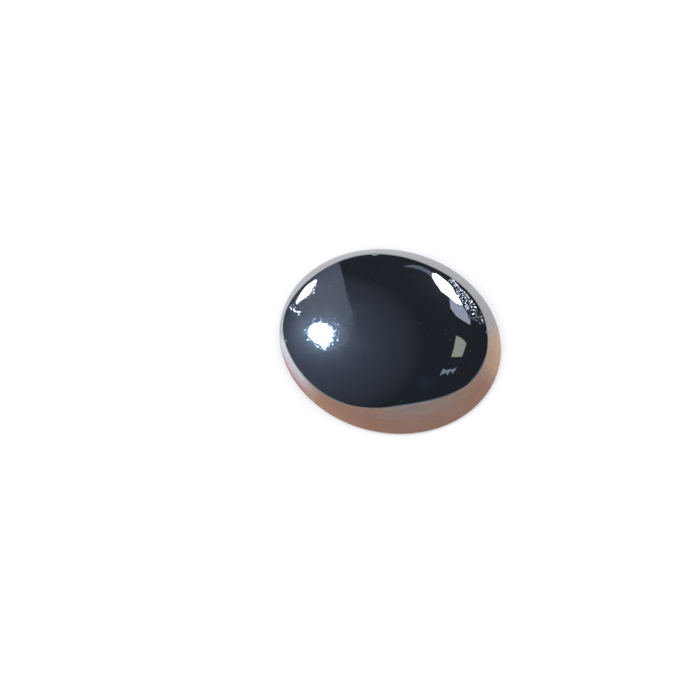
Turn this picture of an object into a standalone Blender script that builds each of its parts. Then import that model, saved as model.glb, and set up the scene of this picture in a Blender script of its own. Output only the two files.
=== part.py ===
"""Polished hematite cabochon: one oval stone, cut with a domed top, a tapered wall and a flat back.

The stone lies on its flat back. Metres, +Z up, the long axis along X, the origin at the middle of the back.
The shape follows the order of the cutter's work. A round blank with a pointed end is turned first. Its wall
is then ground to an oval that leans inwards, up to a hand-cut edge that wanders a little, and its point is
rubbed down to one smooth dome, which meets the wall along that edge.
"""

import math

import bmesh
import bpy

# Driving dimensions, in metres
LENGTH = 0.0160
WIDTH = 0.0131
HEIGHT = 0.0046

# The sharp edge between the wall and the dome, as an oval of its own
EDGE_LENGTH = 0.01454
EDGE_WIDTH = 0.01103
EDGE_TWIST = math.radians(9.6)
EDGE_CENTRE = (-0.00008, 0.00008)
EDGE_HEIGHT = 0.0028

# How the hand-cut edge wanders off its oval: waves round the stone, part of the radius, phase
EDGE_WAVES = (
    (3, 0.0189, math.radians(-34)),
    (4, 0.0078, math.radians(-58)),
    (5, 0.0133, math.radians(-174)),
)

# The dome falls mostly with the square of the distance, and this share of it with the fourth power
DOME_SHOULDER = 0.15

# The wall is a little full between its edges, and the corner at the back is rounded
WALL_FULLNESS = 0.00004
BACK_ROUNDING = 0.00025

# On the turned blank, the level where that rounding ends
ROUNDING_TOP = BACK_ROUNDING / EDGE_HEIGHT

# How finely the stone is divided
SEGMENTS = 80
DOME_RINGS = 18
WALL_LEVELS = 4
ROUNDING_LEVELS = 3

# The polished face: a dark grey metal with a blue cast
POLISHED_COLOUR = (0.075, 0.085, 0.105, 1.0)
POLISHED_METALLIC = 0.9
POLISHED_ROUGHNESS = 0.12


def clear_scene():
    """Start from an empty scene."""
    for obj in list(bpy.data.objects):
        bpy.data.objects.remove(obj, do_unlink=True)


def new_collection(name):
    """Make a collection and link it to the scene."""
    collection = bpy.data.collections.new(name)
    bpy.context.scene.collection.children.link(collection)
    return collection


def polished_hematite():
    """The material of the whole stone."""
    material = bpy.data.materials.new("polished_hematite")
    material.use_nodes = True
    shader = material.node_tree.nodes["Principled BSDF"]
    shader.inputs["Base Color"].default_value = POLISHED_COLOUR
    shader.inputs["Metallic"].default_value = POLISHED_METALLIC
    shader.inputs["Roughness"].default_value = POLISHED_ROUGHNESS
    material.diffuse_color = POLISHED_COLOUR
    return material


def blank_profile():
    """Half the section of the turned blank, as (radius, level), from the middle of the back to the tip.

    The blank has a radius of 1. Its level runs from 0 at the back to 1 at the edge, and to 2 at the tip.
    """
    profile = [(0.0, 0.0)]
    for step in range(ROUNDING_LEVELS):
        turn = 0.5 * math.pi * step / ROUNDING_LEVELS
        profile.append((1.0, ROUNDING_TOP * (1.0 - math.cos(turn))))
    for step in range(WALL_LEVELS):
        profile.append((1.0, ROUNDING_TOP + (1.0 - ROUNDING_TOP) * step / WALL_LEVELS))
    for step in range(DOME_RINGS + 1):
        share = step / DOME_RINGS
        profile.append((1.0 - share, 1.0 + share))
    return profile


def turn_blank(collection):
    """Turn the profile into a closed blank, and return it as a plain mesh."""
    profile = blank_profile()
    mesh = bpy.data.meshes.new("blank")
    # A screwed profile runs from top to bottom on its outer side, so the points go in from the top
    points = [(radius, 0.0, level) for radius, level in reversed(profile)]
    edges = [(index, index + 1) for index in range(len(points) - 1)]
    mesh.from_pydata(points, edges, [])
    blank = bpy.data.objects.new("blank", mesh)
    collection.objects.link(blank)

    screw = blank.modifiers.new("turn", "SCREW")
    screw.axis = "Z"
    screw.angle = math.tau
    screw.steps = SEGMENTS
    screw.render_steps = SEGMENTS
    screw.use_merge_vertices = True
    screw.merge_threshold = 0.0001

    depsgraph = bpy.context.evaluated_depsgraph_get()
    turned = bpy.data.meshes.new_from_object(blank.evaluated_get(depsgraph))
    bpy.data.objects.remove(blank, do_unlink=True)
    return turned


def back_oval(angle):
    """The widest oval of the stone at this angle: the point, and the way that faces outwards there."""
    point = (0.5 * LENGTH * math.cos(angle), 0.5 * WIDTH * math.sin(angle))
    facing = (math.cos(angle) / LENGTH, math.sin(angle) / WIDTH)
    size = math.hypot(*facing)
    return point, (facing[0] / size, facing[1] / size)


def edge_plan(angle, share=1.0):
    """The hand-cut edge seen from above, or the same line drawn in to a share of its distance."""
    around = angle - EDGE_TWIST
    wander = 1.0
    for count, part, phase in EDGE_WAVES:
        wander += part * math.cos(count * around - phase)
    along = 0.5 * EDGE_LENGTH * math.cos(around) * wander * share
    across = 0.5 * EDGE_WIDTH * math.sin(around) * wander * share
    cosine, sine = math.cos(EDGE_TWIST), math.sin(EDGE_TWIST)
    return (
        EDGE_CENTRE[0] + along * cosine - across * sine,
        EDGE_CENTRE[1] + along * sine + across * cosine,
    )


def dome_height(x, y):
    """The height of the polished dome over this place, one smooth surface for the whole top."""
    cosine, sine = math.cos(EDGE_TWIST), math.sin(EDGE_TWIST)
    from_x, from_y = x - EDGE_CENTRE[0], y - EDGE_CENTRE[1]
    along = (from_x * cosine + from_y * sine) / (0.5 * EDGE_LENGTH)
    across = (from_y * cosine - from_x * sine) / (0.5 * EDGE_WIDTH)
    spread = along**2 + across**2
    fall = (1.0 - DOME_SHOULDER) * spread + DOME_SHOULDER * spread**2
    return HEIGHT - (HEIGHT - EDGE_HEIGHT) * fall


def wall_point(angle, level):
    """A point of the wall, from the back at level 0 to the edge at level 1."""
    (outer_x, outer_y), facing = back_oval(angle)
    edge_x, edge_y = edge_plan(angle)
    if level < ROUNDING_TOP:
        lean = 0.0
        height = level * EDGE_HEIGHT
        outwards = math.sqrt(BACK_ROUNDING**2 - (BACK_ROUNDING - height) ** 2) - BACK_ROUNDING
    else:
        lean = (level - ROUNDING_TOP) / (1.0 - ROUNDING_TOP)
        height = BACK_ROUNDING + (dome_height(edge_x, edge_y) - BACK_ROUNDING) * lean
        outwards = WALL_FULLNESS * math.sin(math.pi * lean)
    return (
        outer_x + (edge_x - outer_x) * lean + facing[0] * outwards,
        outer_y + (edge_y - outer_y) * lean + facing[1] * outwards,
        height,
    )


def stone_point(x, y, level):
    """Where the cutter's grinding leaves a point of the turned blank."""
    radius = math.hypot(x, y)
    angle = math.atan2(y, x)
    if level == 0.0 and radius < 0.5:
        return (0.0, 0.0, 0.0)
    if level <= 1.0:
        return wall_point(angle, level)
    place = edge_plan(angle, radius)
    return (*place, dome_height(*place))


def make_stone(collection):
    """Grind the turned blank to the stone's shape."""
    mesh = turn_blank(collection)
    shaped = bmesh.new()
    shaped.from_mesh(mesh)
    for vertex in shaped.verts:
        vertex.co = stone_point(*vertex.co)
    bmesh.ops.recalc_face_normals(shaped, faces=shaped.faces)
    shaped.to_mesh(mesh)
    shaped.free()

    mesh.name = "cabochon"
    mesh.shade_smooth()
    mesh.set_sharp_from_angle(angle=math.radians(24))
    mesh.materials.append(polished_hematite())
    stone = bpy.data.objects.new("cabochon", mesh)
    collection.objects.link(stone)
    return stone


def main():
    clear_scene()
    hematite = new_collection("hematite")
    make_stone(hematite)


main()
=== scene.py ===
# %% [markdown]
# # A polished hematite cabochon
# Hematite is an iron ore that takes a mirror polish. Cut as a cabochon it is a low black dome on a ground
# wall, and nearly all that the eye sees of it is what it mirrors. This lesson makes three things: the
# stone's surface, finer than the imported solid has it, the three finishes that the cutter left on it, and
# a small studio whose lamps lie where the dome shows them.

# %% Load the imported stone
import math
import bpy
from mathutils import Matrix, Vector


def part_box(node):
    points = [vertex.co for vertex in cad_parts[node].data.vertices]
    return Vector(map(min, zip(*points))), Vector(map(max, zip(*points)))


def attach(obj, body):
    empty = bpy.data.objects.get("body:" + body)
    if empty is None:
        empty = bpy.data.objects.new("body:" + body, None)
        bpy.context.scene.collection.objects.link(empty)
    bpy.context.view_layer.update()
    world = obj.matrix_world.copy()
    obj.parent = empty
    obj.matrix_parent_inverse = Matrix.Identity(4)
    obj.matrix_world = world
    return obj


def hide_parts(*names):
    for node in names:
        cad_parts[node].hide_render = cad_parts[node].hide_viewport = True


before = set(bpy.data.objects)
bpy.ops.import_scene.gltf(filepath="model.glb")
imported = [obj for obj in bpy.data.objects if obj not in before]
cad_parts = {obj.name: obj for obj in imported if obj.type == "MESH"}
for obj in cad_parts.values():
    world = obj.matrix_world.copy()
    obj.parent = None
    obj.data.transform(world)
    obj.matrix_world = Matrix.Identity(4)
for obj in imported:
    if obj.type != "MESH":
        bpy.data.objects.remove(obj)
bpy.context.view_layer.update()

from types import SimpleNamespace

import bpy
from mathutils import Matrix, Vector

# %% [markdown]
# ## Sums on sockets
# A formula in a node tree takes one Math node for each sign. Placing them one by one is slow to write and
# slower to read. A small class can wrap a socket instead and answer to Python's own operators, so that
# the same formula works on numbers and on sockets, in a shader and in Geometry Nodes alike.

# %% A socket that answers to operators
MATH_NODE = "ShaderNodeMath"


class Wire:
    """A node's output that can be added, multiplied and compared. Each operator adds a Math node."""

    def __init__(self, bench, socket):
        self.bench = bench
        self.socket = socket

    def math(self, operation, *values):
        return self.bench.node(MATH_NODE, {"operation": operation}, dict(enumerate(values)))

    def __add__(self, other):
        return self.math("ADD", self, other)

    def __radd__(self, other):
        return self.math("ADD", other, self)

    def __sub__(self, other):
        return self.math("SUBTRACT", self, other)

    def __rsub__(self, other):
        return self.math("SUBTRACT", other, self)

    def __mul__(self, other):
        return self.math("MULTIPLY", self, other)

    def __rmul__(self, other):
        return self.math("MULTIPLY", other, self)

    def __truediv__(self, other):
        return self.math("DIVIDE", self, other)

    def __neg__(self):
        return self.math("MULTIPLY", self, -1.0)

    def __gt__(self, other):
        return self.math("GREATER_THAN", self, other)

    def __lt__(self, other):
        return self.math("LESS_THAN", self, other)


class Bench:
    """A node tree to work on: adds any node, sets it up and joins its sockets."""

    def __init__(self, tree):
        self.tree = tree

    def node(self, kind, settings=None, values=None, output=0):
        node = self.tree.nodes.new(kind)
        for name, setting in (settings or {}).items():
            setattr(node, name, setting)
        for key, value in (values or {}).items():
            self.feed(node.inputs[key], value)
        return Wire(self, node.outputs[output])

    def feed(self, socket, value):
        if isinstance(value, Wire):
            self.tree.links.new(value.socket, socket)
        else:
            socket.default_value = value

    def point(self, x, y, z):
        return self.node("ShaderNodeCombineXYZ", values={0: x, 1: y, 2: z})

    def parts(self, vector):
        first = self.node("ShaderNodeSeparateXYZ", values={0: vector})
        return [Wire(self, socket) for socket in first.socket.node.outputs]

    def scaled(self, vector, x, y, z):
        settings = {"operation": "MULTIPLY"}
        return self.node("ShaderNodeVectorMath", settings, {0: vector, 1: (x, y, z)})

    def blend(self, amount, colour, other):
        """Mix two colours: none of the amount gives the first."""
        settings = {"data_type": "RGBA", "clamp_factor": True}
        return self.node("ShaderNodeMix", settings, {0: amount, 6: colour, 7: other}, output=2)


def cosine(value):
    return value.math("COSINE", value) if isinstance(value, Wire) else math.cos(value)


def sine(value):
    return value.math("SINE", value) if isinstance(value, Wire) else math.sin(value)


def root(value):
    return value.math("SQRT", value) if isinstance(value, Wire) else math.sqrt(value)


def larger(first, second):
    return first.math("MAXIMUM", first, second)


def ease(value, low, high):
    """0 below low, 1 above high, and a smooth rise between them. With low above high it falls."""
    settings = {"interpolation_type": "SMOOTHSTEP"}
    return value.bench.node("ShaderNodeMapRange", settings, {0: value, 1: low, 2: high, 3: 0.0, 4: 1.0})


# %% [markdown]
# ## The form of the stone
# A cutter grinds the outline first, leans the wall inwards on a wheel and rubs the top down to one smooth
# dome, by eye, so the edge between them wanders. All of it follows a rule: an oval, a straight lean and a
# dome that falls with the square of the distance. The rule could be sampled into a table of points, but
# as formulas it stays short, and both the mesh and the lamps can be worked out from it.

# %% Sizes of the stone
stone_low, stone_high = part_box("cabochon")

SIZES = {
    "Length": stone_high.x - stone_low.x,
    "Width": stone_high.y - stone_low.y,
    "Height": stone_high.z,
    "Edge Length": 0.01454,
    "Edge Width": 0.01103,
    "Edge Twist": math.radians(9.6),
    "Edge Height": 0.0028,
    "Edge X": -0.00008,
    "Edge Y": 0.00008,
    "Dome Shoulder": 0.15,
    "Wall Fullness": 0.00004,
    "Back Rounding": 0.00025,
    "Edge Wear": 0.00008,
}

# Waves round the stone, part of the radius, phase: how the edge, cut by eye, wanders off its oval
EDGE_WAVES = (
    (3, 0.0189, math.radians(-34)),
    (4, 0.0078, math.radians(-58)),
    (5, 0.0133, math.radians(-174)),
)

for name, value in SIZES.items():
    print(f"{name:14s} {value:.5f}")


# %% The same rules for numbers and for sockets
def as_names(values):
    """Edge Length becomes edge_length, so that a formula can read form.edge_length."""
    return SimpleNamespace(**{name.lower().replace(" ", "_"): value for name, value in values.items()})


def back_oval(form, angle):
    """The widest oval: its point at this angle, and the way that faces outwards there."""
    point = (form.length * 0.5 * cosine(angle), form.width * 0.5 * sine(angle))
    facing = (cosine(angle) / form.length, sine(angle) / form.width)
    size = root(facing[0] * facing[0] + facing[1] * facing[1])
    return point, (facing[0] / size, facing[1] / size)


def edge_plan(form, angle, share=1.0):
    """The edge seen from above, or the same line drawn in to a share of its distance."""
    around = angle - form.edge_twist
    wander = 1.0
    for count, part, phase in EDGE_WAVES:
        wander = wander + part * cosine(count * around - phase)
    along = form.edge_length * 0.5 * cosine(around) * wander * share
    across = form.edge_width * 0.5 * sine(around) * wander * share
    turn_x, turn_y = cosine(form.edge_twist), sine(form.edge_twist)
    return (form.edge_x + along * turn_x - across * turn_y, form.edge_y + along * turn_y + across * turn_x)


def dome_height(form, x, y):
    """The height of the polished dome over this place."""
    turn_x, turn_y = cosine(form.edge_twist), sine(form.edge_twist)
    from_x, from_y = x - form.edge_x, y - form.edge_y
    along = (from_x * turn_x + from_y * turn_y) / (form.edge_length * 0.5)
    across = (from_y * turn_x - from_x * turn_y) / (form.edge_width * 0.5)
    spread = along * along + across * across
    fall = (1.0 - form.dome_shoulder) * spread + form.dome_shoulder * spread * spread
    return form.height - (form.height - form.edge_height) * fall


def dome_point(form, angle, share):
    """A point of the dome, from its tip at share 0 to the edge at share 1."""
    x, y = edge_plan(form, angle, share)
    return (x, y, dome_height(form, x, y))


def wall_point(form, angle, lean):
    """A point of the wall, from the rounded foot at lean 0 to the edge at lean 1."""
    outer, facing = back_oval(form, angle)
    edge = dome_point(form, angle, 1.0)
    full = form.wall_fullness * sine(math.pi * lean)
    return (
        outer[0] + (edge[0] - outer[0]) * lean + facing[0] * full,
        outer[1] + (edge[1] - outer[1]) * lean + facing[1] * full,
        form.back_rounding + (edge[2] - form.back_rounding) * lean,
    )


def foot_point(form, angle, turn):
    """A point of the rounded foot, from the flat back at turn 0 to the wall at a quarter turn."""
    outer, facing = back_oval(form, angle)
    inwards = form.back_rounding * (sine(turn) - 1.0)
    return (
        outer[0] + facing[0] * inwards,
        outer[1] + facing[1] * inwards,
        form.back_rounding * (1.0 - cosine(turn)),
    )


def between(start, corner, end, share):
    """A point of the soft curve from start to end that is drawn towards a corner."""
    first, middle, last = (1.0 - share) * (1.0 - share), 2.0 * share * (1.0 - share), share * share
    return tuple(first * a + middle * b + last * c for a, b, c in zip(start, corner, end))


FORM = as_names(SIZES)
print("the edge is", round(1000 * dome_point(FORM, 0.0, 1.0)[2], 3), "mm high at the near end")

# %% [markdown]
# ## The camera, and places read off the photograph
# The photograph looks down on the stone from 76 degrees, turned so that the long axis runs across it. A
# camera far off with a long lens keeps the oval as the photograph has it. Once the camera is known, any
# pixel of the photograph gives a ray, the ray meets the dome in one place, and there the dome mirrors one
# direction of the studio. Those two are all that is needed to set pits and lamps.

# %% The camera
PHOTO_PIXELS = 700
PIXELS_PER_METRE = 14139.0
STONE_PIXEL = (390.17, 341.76)
VIEW_AZIMUTH = math.radians(45.4)
VIEW_ELEVATION = math.radians(76.0)
VIEW_ROLL = math.radians(28.0)
VIEW_DISTANCE = 0.300
SENSOR = 0.036

level_right = Vector((math.cos(VIEW_AZIMUTH), math.sin(VIEW_AZIMUTH), 0.0))
level_away = Vector((-math.sin(VIEW_AZIMUTH), math.cos(VIEW_AZIMUTH), 0.0))
to_camera = Vector((0.0, 0.0, math.sin(VIEW_ELEVATION))) - level_away * math.cos(VIEW_ELEVATION)
level_up = to_camera.cross(level_right)
picture_right = level_right * math.cos(VIEW_ROLL) - level_up * math.sin(VIEW_ROLL)
picture_up = level_right * math.sin(VIEW_ROLL) + level_up * math.cos(VIEW_ROLL)
camera_place = to_camera * VIEW_DISTANCE


def picture_point(pixel):
    """The place of a photograph's pixel on the plane through the stone's origin."""
    right = (pixel[0] - STONE_PIXEL[0]) / PIXELS_PER_METRE
    up = (STONE_PIXEL[1] - pixel[1]) / PIXELS_PER_METRE
    return picture_right * right + picture_up * up


def make_camera():
    target = picture_point((0.5 * PHOTO_PIXELS, 0.5 * PHOTO_PIXELS))
    back = (camera_place - target).normalized()
    right = picture_up.cross(back).normalized()
    up = back.cross(right)
    turned = Matrix((right, up, back)).transposed().to_4x4()
    data = bpy.data.cameras.new("camera")
    data.sensor_width = 1000.0 * SENSOR
    data.lens = 1000.0 * SENSOR * (camera_place - target).length * PIXELS_PER_METRE / PHOTO_PIXELS
    data.clip_start = 0.01
    data.clip_end = 5.0
    camera = bpy.data.objects.new("camera", data)
    camera.matrix_world = Matrix.Translation(camera_place) @ turned
    bpy.context.scene.collection.objects.link(camera)
    bpy.context.scene.camera = camera
    return camera


camera = make_camera()
print("lens", round(camera.data.lens, 1), "mm, at", [round(side, 4) for side in camera.location])

# %% From a pixel to the dome, and on to the studio
LOOK_STEPS = 40
SLOPE_REACH = 1e-6


def dome_place(pixel):
    """Where the dome lies behind a pixel of the photograph."""
    along = (picture_point(pixel) - camera_place).normalized()
    height = FORM.height
    for _ in range(LOOK_STEPS):
        place = camera_place + along * ((height - camera_place.z) / along.z)
        height = 0.5 * (height + dome_height(FORM, place.x, place.y))
    return place


def dome_facing(place):
    """The way that the dome faces at a place."""
    here = dome_height(FORM, place.x, place.y)
    slope_x = (dome_height(FORM, place.x + SLOPE_REACH, place.y) - here) / SLOPE_REACH
    slope_y = (dome_height(FORM, place.x, place.y + SLOPE_REACH) - here) / SLOPE_REACH
    return Vector((-slope_x, -slope_y, 1.0)).normalized()


def mirrored(pixel, distance):
    """The place in the studio that the dome mirrors into a pixel, at a distance from the stone."""
    place = dome_place(pixel)
    facing = dome_facing(place)
    along = (place - camera_place).normalized()
    return place + (along - 2.0 * along.dot(facing) * facing) * distance


print("the round lamp shows at", [round(1000 * side, 2) for side in dome_place((320, 333))], "mm")

# %% [markdown]
# ## The surface of the stone
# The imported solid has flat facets, which a mirror would show at once. A subdivision would round them, but
# it would pull in the edge as well. Geometry Nodes can lay the surface from the rules above instead: one
# grid of points for each face of the stone, bent round so that its ends meet, and closer together where
# the detail is finest. Then the same tree works in what the wheel and wear have left: a worn edge, chips,
# pits and a wavering polish.

# %% Flaws that the photograph shows, by their pixels
PITTED_BAND = ((451, 280), (479, 319))
PITTED_BAND_WIDTHS = (0.00014, 0.00052)
SMALL_PATCH = ((290, 305), (299, 313))
SMALL_PATCH_WIDTHS = (0.00020, 0.00026)
CHIP_PIXELS = ((375, 254), (285, 341), (488, 332))
CHIP_RADIUS = 0.00016
CHIP_DEPTH = 0.00005

# %% How finely the surface is divided
STEPS_AROUND = 640
DOME_ROWS = 106
EDGE_ROWS = 4
WALL_ROWS = 24
FOOT_ROWS = 4
BACK_ROWS = 4

# The points crowd towards this angle, where the pitted band lies
CROWDING = 0.35
CROWDED_ANGLE = math.radians(38.0)

# Of the rows of the dome, those next to the edge lie this much closer than the average
EDGE_CLOSENESS = 0.6
WELD = 1e-7


def set_material(bench, geometry, material, selection=True):
    values = {"Geometry": geometry, "Selection": selection, "Material": material}
    return bench.node("GeometryNodeSetMaterial", values=values)


def lay_sheet(bench, form, rows, rule):
    """One face of the stone: a grid of points, each moved to where a rule puts it.

    The rule takes an angle and a share of the way up, and gives a place and its level on the stone.
    """
    grid = bench.node(
        "GeometryNodeMeshGrid",
        values={"Size X": 1.0, "Size Y": 1.0, "Vertices X": form.steps_around + 1.0, "Vertices Y": rows + 1},
    )
    turn, up, _ = bench.parts(Wire(bench, grid.socket.node.outputs["UV Map"]))
    full_turn = turn * math.tau
    angle = full_turn - CROWDING * sine(full_turn - CROWDED_ANGLE)
    place, level = rule(angle, up)
    moved = bench.node("GeometryNodeSetPosition", values={"Geometry": grid, "Position": bench.point(*place)})
    return store(bench, moved, "level", level)


def store(bench, geometry, name, value):
    settings = {"data_type": "FLOAT", "domain": "POINT"}
    values = {"Geometry": geometry, "Name": name, "Value": value}
    return bench.node("GeometryNodeStoreNamedAttribute", settings, values)


def face_rules(form):
    """The rule and the rows of each face. Levels: 0 at the foot, 1 at the edge, 2 at the tip of the dome."""
    wall_stop = 1.0 - form.edge_wear / form.edge_height
    dome_stop = 1.0 - form.edge_wear * 2.0 / form.edge_width

    def back(angle, up):
        x, y, _ = foot_point(form, angle, 0.0)
        return (x * up, y * up, 0.0), up - 1.0

    def foot(angle, up):
        return foot_point(form, angle, up * 0.5 * math.pi), up * 0.0

    def wall(angle, up):
        lean = (up + 0.1 * sine(up * math.pi)) * wall_stop
        return wall_point(form, angle, lean), lean

    def edge(angle, up):
        start, corner = wall_point(form, angle, wall_stop), dome_point(form, angle, 1.0)
        return between(start, corner, dome_point(form, angle, dome_stop), up), up * 0.0 + 1.0

    def dome(angle, up):
        share = (1.0 - up * (EDGE_CLOSENESS + (1.0 - EDGE_CLOSENESS) * up)) * dome_stop
        return dome_point(form, angle, share), 2.0 - share

    return ((back, BACK_ROWS), (foot, FOOT_ROWS), (wall, WALL_ROWS), (edge, EDGE_ROWS), (dome, DOME_ROWS))


# %% [markdown]
# ### What wear and haste left on it
# Close to the edge the polish didn't reach the bottom of the grinding marks, and a band of tiny pits is
# left. The edge itself is chipped where it knocked against something. They could be left to a bump map,
# but a bump doesn't change an outline or an exported mesh. Here each is a depth that depends on the
# place, all the depths are added up, and every point sinks along its own normal, so nothing grows out of
# the stone's measured box.


# %% Depths that depend on the place
def noise(bench, vector, scale, detail=2.0, roughness=0.5):
    values = {"Vector": vector, "Scale": scale, "Detail": detail, "Roughness": roughness}
    return bench.node("ShaderNodeTexNoise", values=values)


def reach_from(x, y, start, end, widths):
    """How far inside a streak between two points a place lies: 1 on its middle line and 0 on its rim."""
    run = end - start
    along = ((x - start.x) * run.x + (y - start.y) * run.y) / run.length_squared
    along = along.math("MINIMUM", larger(along, 0.0), 1.0)
    off_x, off_y = x - start.x - along * run.x, y - start.y - along * run.y
    width = widths[0] + along * (widths[1] - widths[0])
    return 1.0 - root(off_x * off_x + off_y * off_y) / width


def streak_ends(pixels):
    return [dome_place(pixel).xy for pixel in pixels]


def pitted_share(bench, position):
    """1 in the middle of the pitted places of the dome, and 0 away from them."""
    x, y, _ = bench.parts(position)
    ragged = (noise(bench, position, 1600.0, 3.0) - 0.5) * 1.6
    band = reach_from(x, y, *streak_ends(PITTED_BAND), PITTED_BAND_WIDTHS) + ragged
    patch = reach_from(x, y, *streak_ends(SMALL_PATCH), SMALL_PATCH_WIDTHS) + ragged
    return larger(ease(band, 0.0, 0.55), ease(patch, 0.1, 0.6) * 0.8)


def chip_share(bench, position):
    """1 in the middle of a chip on the edge, and 0 away from it."""
    share = None
    for pixel in CHIP_PIXELS:
        place = dome_place(pixel)
        away = bench.node("ShaderNodeVectorMath", {"operation": "DISTANCE"}, {0: position, 1: place}, "Value")
        one = ease(away / CHIP_RADIUS + (noise(bench, position, 5000.0) - 0.5) * 0.8, 1.0, 0.3)
        share = one if share is None else larger(share, one)
    return share


# %% Build the tree
PIT_SIZE = 9500.0
PIT_DEPTH = 0.000020
POLISH_SWELL = 0.0000012
POLISH_SWELL_SIZE = 700.0
WALL_SWELL = 0.000008
WALL_SWELL_SIZE = 420.0
LOOSE_PIT_DENSITY = 0.4e6
LOOSE_PIT_RADIUS = (0.00003, 0.00007)
LOOSE_PIT_DEPTH = 0.000008
LOOSE_PIT_SEED = 11


def loose_pits(bench, geometry, position):
    """Single pits, strewn over the dome: how deep in one a point lies, from 0 to 1."""
    on_dome = bench.node("GeometryNodeInputNamedAttribute", {"data_type": "FLOAT"}, {"Name": "level"}) > 1.02
    strewn = bench.node(
        "GeometryNodeDistributePointsOnFaces",
        {"distribute_method": "RANDOM"},
        {"Mesh": geometry, "Selection": on_dome, "Density": LOOSE_PIT_DENSITY, "Seed": LOOSE_PIT_SEED},
    )
    chance = bench.node(
        "FunctionNodeRandomValue",
        {"data_type": "FLOAT"},
        {2: LOOSE_PIT_RADIUS[0], 3: LOOSE_PIT_RADIUS[1], "Seed": LOOSE_PIT_SEED},
        output=1,
    )
    sized = store(bench, strewn, "radius", chance)
    own_radius = bench.node("GeometryNodeInputNamedAttribute", {"data_type": "FLOAT"}, {"Name": "radius"})
    nearest = bench.node("GeometryNodeSampleNearest", {"domain": "POINT"}, {"Geometry": sized})
    radius = bench.node(
        "GeometryNodeSampleIndex",
        {"data_type": "FLOAT", "domain": "POINT"},
        {"Geometry": sized, "Value": own_radius, "Index": nearest},
    )
    away = bench.node("GeometryNodeProximity", {"target_element": "POINTS"}, {0: sized}, "Distance")
    return ease(away / radius, 1.0, 0.0)


def build_tree(materials):
    tree = bpy.data.node_groups.new("cut_and_polish", "GeometryNodeTree")
    tree.interface.new_socket("Geometry", in_out="OUTPUT", socket_type="NodeSocketGeometry")
    for name in SIZES:
        tree.interface.new_socket(name, in_out="INPUT", socket_type="NodeSocketFloat")
    tree.interface.new_socket("Steps Around", in_out="INPUT", socket_type="NodeSocketInt")
    bench = Bench(tree)
    entry = tree.nodes.new("NodeGroupInput")
    inputs = {socket.name: Wire(bench, socket) for socket in entry.outputs if socket.name}
    form = as_names(inputs)

    sheets = [lay_sheet(bench, form, rows, rule) for rule, rows in face_rules(form)]
    joined = bench.node("GeometryNodeJoinGeometry")
    for sheet in reversed(sheets):
        tree.links.new(sheet.socket, joined.socket.node.inputs[0])
    welded = bench.node("GeometryNodeMergeByDistance", values={"Geometry": joined, "Distance": WELD})

    position = bench.node("GeometryNodeInputPosition")
    level = bench.node("GeometryNodeInputNamedAttribute", {"data_type": "FLOAT"}, {"Name": "level"})
    on_dome = ease(level, 1.0, 1.02)
    pitted = pitted_share(bench, position) * on_dome
    chipped = chip_share(bench, position)
    loose = loose_pits(bench, welded, position) * on_dome
    pits = noise(bench, position, PIT_SIZE, 1.0)
    swell = noise(bench, position, POLISH_SWELL_SIZE, 1.0)
    wall_swell = noise(bench, position, WALL_SWELL_SIZE, 1.0)
    off_edges = ease(level, 0.0, 0.3) * ease(level, 1.0, 0.8)
    depth = (
        pitted * ease(pits, 0.35, 0.65) * PIT_DEPTH
        + chipped * CHIP_DEPTH
        + loose * LOOSE_PIT_DEPTH
        + swell * on_dome * POLISH_SWELL
        + wall_swell * off_edges * WALL_SWELL
    )
    normal = bench.node("GeometryNodeInputNormal")
    inwards = bench.node("ShaderNodeVectorMath", {"operation": "SCALE"}, {0: normal, "Scale": -depth})
    worn = store(bench, welded, "rough", larger(chipped, loose))
    worn = store(bench, worn, "pitted", pitted)
    sunk = bench.node("GeometryNodeSetPosition", values={"Geometry": worn, "Offset": inwards})
    smooth = bench.node("GeometryNodeSetShadeSmooth", {"domain": "FACE"}, {"Geometry": sunk})
    real = bench.node("GeometryNodeRealizeInstances", values={"Geometry": smooth})
    finished = set_material(bench, real, materials["wall"])
    finished = set_material(bench, finished, materials["dome"], level > 1.0)
    finished = set_material(bench, finished, materials["back"], level < 0.0)
    leave = tree.nodes.new("NodeGroupOutput")
    tree.links.new(finished.socket, leave.inputs[0])
    return tree


def make_stone(materials):
    """Run the tree on an empty mesh, and keep what it makes as a plain mesh."""
    tree = build_tree(materials)
    holder = bpy.data.objects.new("holder", bpy.data.meshes.new("holder"))
    bpy.context.scene.collection.objects.link(holder)
    modifier = holder.modifiers.new("cut_and_polish", "NODES")
    modifier.node_group = tree
    for item in tree.interface.items_tree:
        if item.in_out == "INPUT":
            modifier[item.identifier] = SIZES.get(item.name, STEPS_AROUND)
    depsgraph = bpy.context.evaluated_depsgraph_get()
    mesh = bpy.data.meshes.new_from_object(holder.evaluated_get(depsgraph))
    bpy.data.objects.remove(holder, do_unlink=True)
    for index in reversed(range(len(mesh.materials))):
        if mesh.materials[index] is None:
            mesh.materials.pop(index=index)
    mesh.name = "polished_stone"
    stone = bpy.data.objects.new("polished_stone", mesh)
    bpy.context.scene.collection.objects.link(stone)
    return stone


# %% [markdown]
# ## The polish of the dome
# Polished hematite mirrors about a quarter of the light, a little more of the blue than of the red, and
# lets nothing through, so it is a dark metal. Its mirror isn't perfect: fine scratches and pits spread a
# lamp into a bluish haze, more on the side that was rubbed less. A rougher metal would spread everything.
# So the metal stays nearly sharp, a thin coat of its own gloss carries the haze, and a bump holds the
# scratches. Where pits are left, a bump would be finer than a picture can show. There the surface is
# broken into facets, each tilted its own way, so that each mirrors something else and the place glitters.

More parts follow.
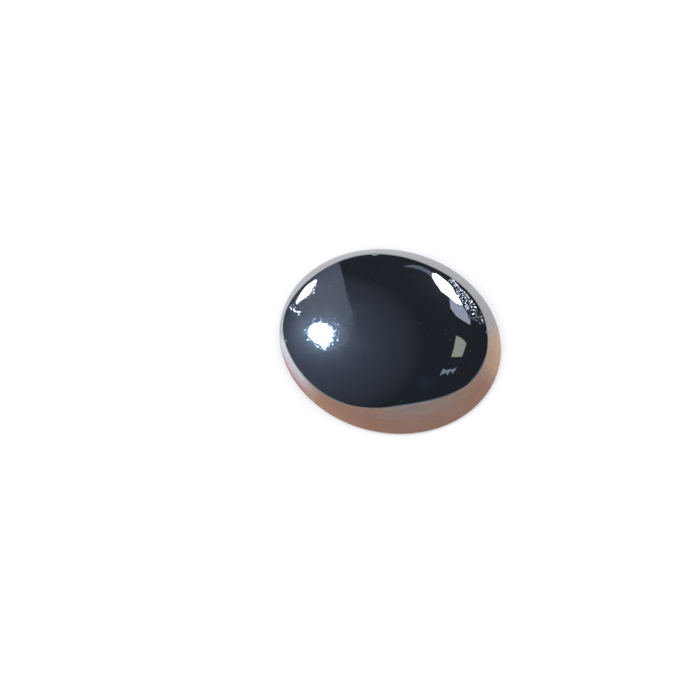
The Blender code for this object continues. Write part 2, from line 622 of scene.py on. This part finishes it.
# %% Finish of the dome
POLISHED_COLOUR = (0.205, 0.232, 0.272, 1.0)
ROUGH_COLOUR = (0.30, 0.31, 0.30, 1.0)
HAZY_PIXEL = (325, 345)
HAZY_RADIUS = 0.0058
HAZE_SPREAD = 0.34
STREAK_TURN = math.radians(-18.0)
FACETS = 12000.0
PIT_TILT = 0.55
SPARKLE_TILT = 0.16
DENT_DEPTH = 0.0000008
GRAIN_DEPTH = 0.000012


def new_finish(name):
    material = bpy.data.materials.new(name)
    material.use_nodes = True
    bench = Bench(material.node_tree)
    shader = material.node_tree.nodes["Principled BSDF"]
    shader.inputs["Metallic"].default_value = 1.0
    position = bench.node("ShaderNodeTexCoord", output="Object")
    return material, bench, shader, position


def attribute(bench, name):
    return bench.node("ShaderNodeAttribute", {"attribute_name": name}, output="Fac")


def bumped(bench, height, distance, under=None):
    values = {"Height": height, "Distance": distance, "Strength": 1.0}
    if under is not None:
        values["Normal"] = under
    return bench.node("ShaderNodeBump", values=values)


def tilted_facets(bench, position, amount):
    """The way the surface faces once it is broken into tiny facets, each tilted its own way."""
    facing = bench.node("ShaderNodeNewGeometry", output="Normal")
    cells = {"Vector": position, "Scale": FACETS}
    chance = bench.node("ShaderNodeTexVoronoi", {"feature": "F1"}, cells, "Color")
    lean = bench.node("ShaderNodeVectorMath", {"operation": "SUBTRACT"}, {0: chance, 1: (0.5, 0.5, 0.5)})
    lean = bench.node("ShaderNodeVectorMath", {"operation": "SCALE"}, {0: lean, "Scale": amount})
    leaning = bench.node("ShaderNodeVectorMath", {"operation": "ADD"}, {0: facing, 1: lean})
    return bench.node("ShaderNodeVectorMath", {"operation": "NORMALIZE"}, {0: leaning})


def finish_of_dome():
    material, bench, shader, position = new_finish("polished_dome")
    shader.inputs["Coat Roughness"].default_value = HAZE_SPREAD
    rough = attribute(bench, "rough")
    pitted = attribute(bench, "pitted")
    hazy_place = dome_place(HAZY_PIXEL)
    ends = {0: position, 1: hazy_place}
    away = bench.node("ShaderNodeVectorMath", {"operation": "DISTANCE"}, ends, "Value")
    hazy = ease(away / HAZY_RADIUS + (noise(bench, position, 900.0, 4.0) - 0.5) * 0.7, 1.0, 0.0)
    turn = {0: position, 2: (0.0, 0.0, STREAK_TURN)}
    turned = bench.node("ShaderNodeMapping", {"vector_type": "POINT"}, turn)
    streaks = noise(bench, bench.scaled(turned, 1800.0, 7500.0, 1800.0), 1.0, 3.0, 0.6)
    peel = noise(bench, position, 7500.0, 3.0, 0.6)
    grain = noise(bench, position, 21000.0, 2.0)
    dents = ease(peel, 0.52, 0.75) + ease(streaks, 0.55, 0.8)
    sparkle = hazy * ease(noise(bench, position, 8000.0, 1.0), 0.55, 0.68)
    normal = tilted_facets(bench, position, pitted * PIT_TILT + sparkle * SPARKLE_TILT)
    normal = bumped(bench, dents * hazy, DENT_DEPTH, normal)
    normal = bumped(bench, grain * rough, GRAIN_DEPTH, normal)
    mottle = ease(peel + streaks, 0.75, 1.35)
    bench.feed(shader.inputs["Base Color"], bench.blend(rough, POLISHED_COLOUR, ROUGH_COLOUR))
    bench.feed(shader.inputs["Roughness"], 0.030 + rough * 0.35 + pitted * grain * 0.08)
    bench.feed(shader.inputs["Coat Weight"], 0.12 + hazy * (0.55 + mottle))
    bench.feed(shader.inputs["Normal"], normal)
    return material


# %% [markdown]
# ## The ground wall
# The wall was ground on a wheel and never polished. Fine lines run round it, side by side with the edge,
# and they blur what it mirrors up and down but not along. An anisotropic shader could do that, but its
# strength would be lost in an export. Lines in a bump, much longer than they are wide, do the same and
# are kept.

# %% Finish of the wall
GROUND_COLOUR = (0.235, 0.245, 0.262, 1.0)
GROUND_DARK = (0.200, 0.208, 0.222, 1.0)
GROUND_STAIN = (0.205, 0.188, 0.180, 1.0)
LINE_LENGTH_SCALE = 90.0
LINE_COUNT_SCALE = 26.0
LINE_DEPTH = 0.000030
WALL_GRAIN_DEPTH = 0.000003


def finish_of_wall():
    material, bench, shader, position = new_finish("ground_wall")
    rough = attribute(bench, "rough")
    level = attribute(bench, "level")
    x, y, _ = bench.parts(position)
    along = bench.point(x * LINE_LENGTH_SCALE, y * LINE_LENGTH_SCALE, level * LINE_COUNT_SCALE)
    lines = noise(bench, along, 1.0, 5.0, 0.65)
    grain = noise(bench, position, 9000.0, 2.0)
    stain = ease(noise(bench, position, 600.0, 4.0), 0.45, 0.75)
    normal = bumped(bench, lines, LINE_DEPTH)
    normal = bumped(bench, grain, WALL_GRAIN_DEPTH, normal)
    shade = bench.blend(ease(lines, 0.3, 0.7), GROUND_DARK, GROUND_COLOUR)
    bench.feed(shader.inputs["Base Color"], bench.blend(stain * 0.5, shade, GROUND_STAIN))
    bench.feed(shader.inputs["Roughness"], 0.14 + lines * 0.14 + rough * 0.25)
    bench.feed(shader.inputs["Normal"], normal)
    return material


# %% [markdown]
# ## The lapped back
# Nobody looks at the back, so a cutter leaves it as it comes off the lap: flat, evenly dull and a little
# brown, since ground hematite shows its rust-red streak. It is out of sight in the photograph, so this is
# how such stones are sold and not something measured.

# %% Finish of the back
LAPPED_COLOUR = (0.150, 0.140, 0.140, 1.0)
LAPPED_STREAK = (0.125, 0.090, 0.082, 1.0)
STROKE_DEPTH = 0.000006


def finish_of_back():
    material, bench, shader, position = new_finish("lapped_back")
    strokes = noise(bench, bench.scaled(position, 900.0, 9000.0, 900.0), 1.0, 4.0, 0.6)
    blotch = noise(bench, position, 500.0, 4.0)
    colour = bench.blend(ease(blotch, 0.35, 0.75), LAPPED_COLOUR, LAPPED_STREAK)
    bench.feed(shader.inputs["Base Color"], colour)
    bench.feed(shader.inputs["Roughness"], 0.34 + strokes * 0.2)
    bench.feed(shader.inputs["Normal"], bumped(bench, strokes, STROKE_DEPTH))
    return material


# %% Cut, polish and put the stone in its place
FINISHES = {"dome": finish_of_dome(), "wall": finish_of_wall(), "back": finish_of_back()}
stone = make_stone(FINISHES)
stone.data.calc_loop_triangles()
print("the stone has", len(stone.data.loop_triangles), "triangles and", len(stone.data.materials), "finishes")
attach(stone, "root")
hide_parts("cabochon")

# %% [markdown]
# ## The studio
# A stone like this is photographed on white with soft light from all sides, and a black room above so
# that its dome stays dark. One world can be both: light that falls on the floor comes from a pale sky,
# and a mirror that looks up sees a dark one. What shows in the dome are a few cards. Each is drawn by the
# outline of its own reflection, so the corners below are pixels of the photograph, sent back off the dome
# into the studio.

# %% Floor and sky
FLOOR_RADIUS = 0.45
FLOOR_COLOUR = (0.90, 0.90, 0.905, 1.0)
SKY_FOR_FLOOR = (1.42, 1.42, 1.45, 1.0)
SKY_SEEN = (1.00, 1.00, 1.00, 1.0)
SKY_MIRRORED = (0.058, 0.062, 0.070, 1.0)


def make_floor():
    mesh = bpy.data.meshes.new("floor")
    steps = 96
    ring = [math.tau * step / steps for step in range(steps)]
    rim = [(FLOOR_RADIUS * math.cos(turn), FLOOR_RADIUS * math.sin(turn), 0.0) for turn in ring]
    mesh.from_pydata(rim, [], [range(steps)])
    material = bpy.data.materials.new("floor")
    material.use_nodes = True
    shader = material.node_tree.nodes["Principled BSDF"]
    shader.inputs["Base Color"].default_value = FLOOR_COLOUR
    shader.inputs["Roughness"].default_value = 0.9
    shader.inputs["Specular IOR Level"].default_value = 0.0
    mesh.materials.append(material)
    floor = bpy.data.objects.new("floor", mesh)
    bpy.context.scene.collection.objects.link(floor)


def make_sky():
    world = bpy.data.worlds.new("sky")
    world.use_nodes = True
    bpy.context.scene.world = world
    bench = Bench(world.node_tree)
    path = bench.node("ShaderNodeLightPath")
    outputs = path.socket.node.outputs
    mirror = Wire(bench, outputs["Is Glossy Ray"])
    seen = Wire(bench, outputs["Is Camera Ray"])
    colour = bench.blend(mirror, bench.blend(seen, SKY_FOR_FLOOR, SKY_SEEN), SKY_MIRRORED)
    background = world.node_tree.nodes["Background"]
    bench.feed(background.inputs["Color"], colour)


make_floor()
make_sky()
bpy.context.scene.view_settings.view_transform = "Standard"

# %% Cards that the dome mirrors
CARD_DISTANCE = 0.35

ROUND_LAMP = (
    (314, 323.8), (320, 323.2), (326, 324.6), (331, 328.5), (332.7, 334), (330.5, 340), (327, 344),
    (325, 348.5), (321.5, 346), (317, 342.5), (312, 339.5), (309, 336), (308.4, 331), (310.5, 326.5),
)
LEFT_WINDOW = (
    (316, 279.5), (306, 286.5), (300.5, 294), (296, 302), (296.5, 304), (303.5, 298.5), (309.5, 294),
    (313.5, 287), (317, 281),
)
RIGHT_WINDOW = (
    (432.3, 273.1), (436.5, 273.8), (444.9, 280.1), (451.9, 286.4), (457.5, 292.7), (461.1, 300.4),
    (462.5, 305.4), (456.1, 303.2), (450.5, 298.3), (442.1, 292), (435.8, 283.6), (432.3, 277.3),
)
SOFT_PANEL = (
    (449.1, 297.5), (456.1, 303.4), (462.5, 306), (466.7, 311.7), (470.2, 320.1), (470.2, 325),
    (463.2, 320.8), (456.1, 315.9), (450.5, 308.2),
)
PALE_DOOR = ((456.1, 335.6), (461, 338), (464.5, 341), (466.3, 343.5), (461.8, 356.7), (451.2, 357))
TORN_SHAPE = (
    (439.6, 375.8), (441.6, 371.6), (443.2, 368.6), (446.8, 370.4), (449.6, 369.0), (452.2, 369.4),
    (456.8, 367.2), (452.3, 374.2), (451.6, 371.0), (449.4, 372.2), (447.2, 375.6), (446.2, 372.4),
)
WINDOW_EDGE = (
    (403, 266.5), (412, 264.8), (421, 266.2), (429, 270.2), (433.5, 273.8), (432, 277), (424, 271.5),
    (414, 268),
)


def glowing(name, colour, strength):
    """A light that covers what is behind it as far as the mesh's own fade says."""
    material = bpy.data.materials.new(name)
    material.use_nodes = True
    bench = Bench(material.node_tree)
    material.node_tree.nodes.remove(material.node_tree.nodes["Principled BSDF"])
    glow = bench.node("ShaderNodeEmission", values={"Color": (*colour, 1.0), "Strength": strength})
    clear = bench.node("ShaderNodeBsdfTransparent")
    fade = bench.node("ShaderNodeAttribute", {"attribute_name": "fade"}, output="Fac")
    mixed = bench.node("ShaderNodeMixShader", values={0: fade, 1: clear, 2: glow})
    bench.feed(material.node_tree.nodes["Material Output"].inputs["Surface"], mixed)
    return material


def seen_by_mirrors_only(name, corners, faces, fades, material):
    mesh = bpy.data.meshes.new(name)
    mesh.from_pydata(corners, [], faces)
    mesh.attributes.new("fade", "FLOAT", "POINT").data.foreach_set("value", fades)
    mesh.materials.append(material)
    card = bpy.data.objects.new(name, mesh)
    bpy.context.scene.collection.objects.link(card)
    card.visible_camera = False
    card.visible_diffuse = False
    card.visible_shadow = False


def make_card(name, outline, colour, strength, distance=CARD_DISTANCE):
    """A glowing card drawn by the outline of its reflection in the dome."""
    corners = [mirrored(pixel, distance) for pixel in outline]
    faces = [range(len(corners))]
    seen_by_mirrors_only(name, corners, faces, [1.0] * len(corners), glowing(name, colour, strength))


def make_soft_card(name, corners, fades, colour):
    """A card that is whole in its middle and fades by its own amount towards each corner."""
    middle = sum(corners, Vector()) / len(corners)
    count = len(corners)
    faces = [(index, (index + 1) % count, count) for index in range(count)]
    seen_by_mirrors_only(name, [*corners, middle], faces, [*fades, 1.0], glowing(name, colour, 1.0))


def oval_card(name, pixel, radii, colour, distance):
    """A soft glow whose reflection is an oval round a pixel."""
    turns = [math.tau * step / GLOW_CORNERS for step in range(GLOW_CORNERS)]
    rim = [(pixel[0] + radii[0] * math.cos(turn), pixel[1] + radii[1] * math.sin(turn)) for turn in turns]
    make_soft_card(name, [mirrored(place, distance) for place in rim], [0.0] * GLOW_CORNERS, colour)


make_card("round_lamp", ROUND_LAMP, (0.68, 0.90, 1.28), 24.0)
make_card("left_window", LEFT_WINDOW, (0.95, 0.98, 1.05), 12.0)
make_card("right_window", RIGHT_WINDOW, (0.95, 0.98, 1.05), 12.0)
make_card("soft_panel", SOFT_PANEL, (1.29, 1.31, 1.44), 1.0, CARD_DISTANCE + 0.01)
make_card("pale_door", PALE_DOOR, (1.15, 1.17, 0.84), 1.0)
make_card("torn_shape", TORN_SHAPE, (0.8, 0.9, 1.0), 0.9)
make_card("window_edge", WINDOW_EDGE, (0.46, 0.51, 0.58), 1.0, CARD_DISTANCE + 0.02)

# %% [markdown]
# ### Soft lights
# Some of what the dome shows has no outline: a dim curtain that ends in a clear line on one side only,
# the glow of a ceiling, a little blue. A card that fades could be painted with a gradient texture. Here
# every corner of a card says how much of it is there, and the mesh itself blends in between.

# %% Soft glows behind them
CURTAIN_DISTANCE = 0.9
CURTAIN = (
    ((337, 259), 0.75), ((341, 268), 0.9), ((344, 280), 1.0), ((346, 292), 1.0), ((350, 304), 1.0),
    ((353, 315), 0.9), ((354, 328), 0.5), ((346, 342), 0.2), ((330, 354), 0.0), ((312, 358), 0.0),
    ((298, 350), 0.0), ((290, 334), 0.2), ((289, 318), 0.4), ((294, 302), 0.6), ((304, 288), 0.8),
    ((318, 272), 0.8), ((328, 263), 0.8),
)
GLOW_DISTANCE = 1.5
GLOW_CORNERS = 24

make_soft_card(
    "curtain",
    [mirrored(pixel, CURTAIN_DISTANCE) for pixel, _ in CURTAIN],
    [fade for _, fade in CURTAIN],
    (0.36, 0.39, 0.46),
)
oval_card("ceiling_glow", (335, 345), (90, 72), (0.21, 0.24, 0.31), GLOW_DISTANCE)
oval_card("blue_glow", (425, 382), (15, 9), (0.06, 0.09, 0.14), CURTAIN_DISTANCE)

# %% Boxes of light for the views from the sides and the back
BOX_DISTANCE = 0.6
# Azimuths from and to, elevations from and to, in degrees: 0 is towards -Y, and 90 towards +X
LIGHT_BOXES = (((12, 58), (5, 24)), ((-48, -14), (4, 18)), ((66, 100), (6, 28)))


def studio_point(azimuth, elevation, distance):
    around, up = math.radians(azimuth), math.radians(elevation)
    level = distance * math.cos(up)
    return Vector((level * math.sin(around), -level * math.cos(around), distance * math.sin(up)))


for index, (azimuths, elevations) in enumerate(LIGHT_BOXES):
    ways = [(azimuths[0], elevations[0]), (azimuths[1], elevations[0])]
    ways += [(azimuths[1], elevations[1]), (azimuths[0], elevations[1])]
    corners = [studio_point(*way, BOX_DISTANCE) for way in ways]
    make_soft_card(f"light_box_{index}", corners, [0.6] * len(corners), (0.85, 0.88, 0.95))

# %% [markdown]
# ### Warm light along the foot
# The wall leans inwards, so from above it mirrors the floor close to the stone. On the near side that
# floor is warm. Only mirrors see these cards, and they lie a hair above the floor, each from one angle to
# another.

# %% Cards round the foot
WARM_LIFT = 0.00003


def make_foot_card(name, angles, near, far, colour, lift, soft):
    """A card on the floor along the stone's foot, between two angles, which fades over the soft degrees."""
    corners, fades = [], []
    for step in range(FOOT_CARD_STEPS + 1):
        share = step / FOOT_CARD_STEPS
        degrees = angles[0] + (angles[1] - angles[0]) * share
        point, facing = back_oval(FORM, math.radians(degrees))
        fade = min(1.0, (degrees - angles[0]) / soft[0], (angles[1] - degrees) / soft[1])
        for reach in (near, far):
            out = reach[0] + (reach[1] - reach[0]) * share
            corners.append((point[0] + facing[0] * out, point[1] + facing[1] * out, lift))
            fades.append(fade)
    faces = [(2 * step, 2 * step + 1, 2 * step + 3, 2 * step + 2) for step in range(FOOT_CARD_STEPS)]
    seen_by_mirrors_only(name, corners, faces, fades, glowing(name, colour, 1.0))


FOOT_GAP = 0.00003
FOOT_CARD_STEPS = 60
CLOSE = (FOOT_GAP, FOOT_GAP)
make_foot_card("warm_near", (-134, 4), CLOSE, (0.009, 0.009), (1.15, 0.66, 0.47), WARM_LIFT, (16, 14))
make_foot_card("warm_right", (-12, 34), CLOSE, (0.007, 0.003), (1.55, 1.04, 0.72), 0.8 * WARM_LIFT, (14, 16))
WARM_EDGE = (0.0002, 0.0006)
make_foot_card("warm_left", (-158, -122), CLOSE, WARM_EDGE, (1.0, 0.52, 0.42), 0.9 * WARM_LIFT, (12, 4))
PALE_EDGE = (0.004, 0.004)
make_foot_card("pale_left", (-166, -112), WARM_EDGE, PALE_EDGE, (1.7, 1.75, 1.9), 0.5 * WARM_LIFT, (8, 8))
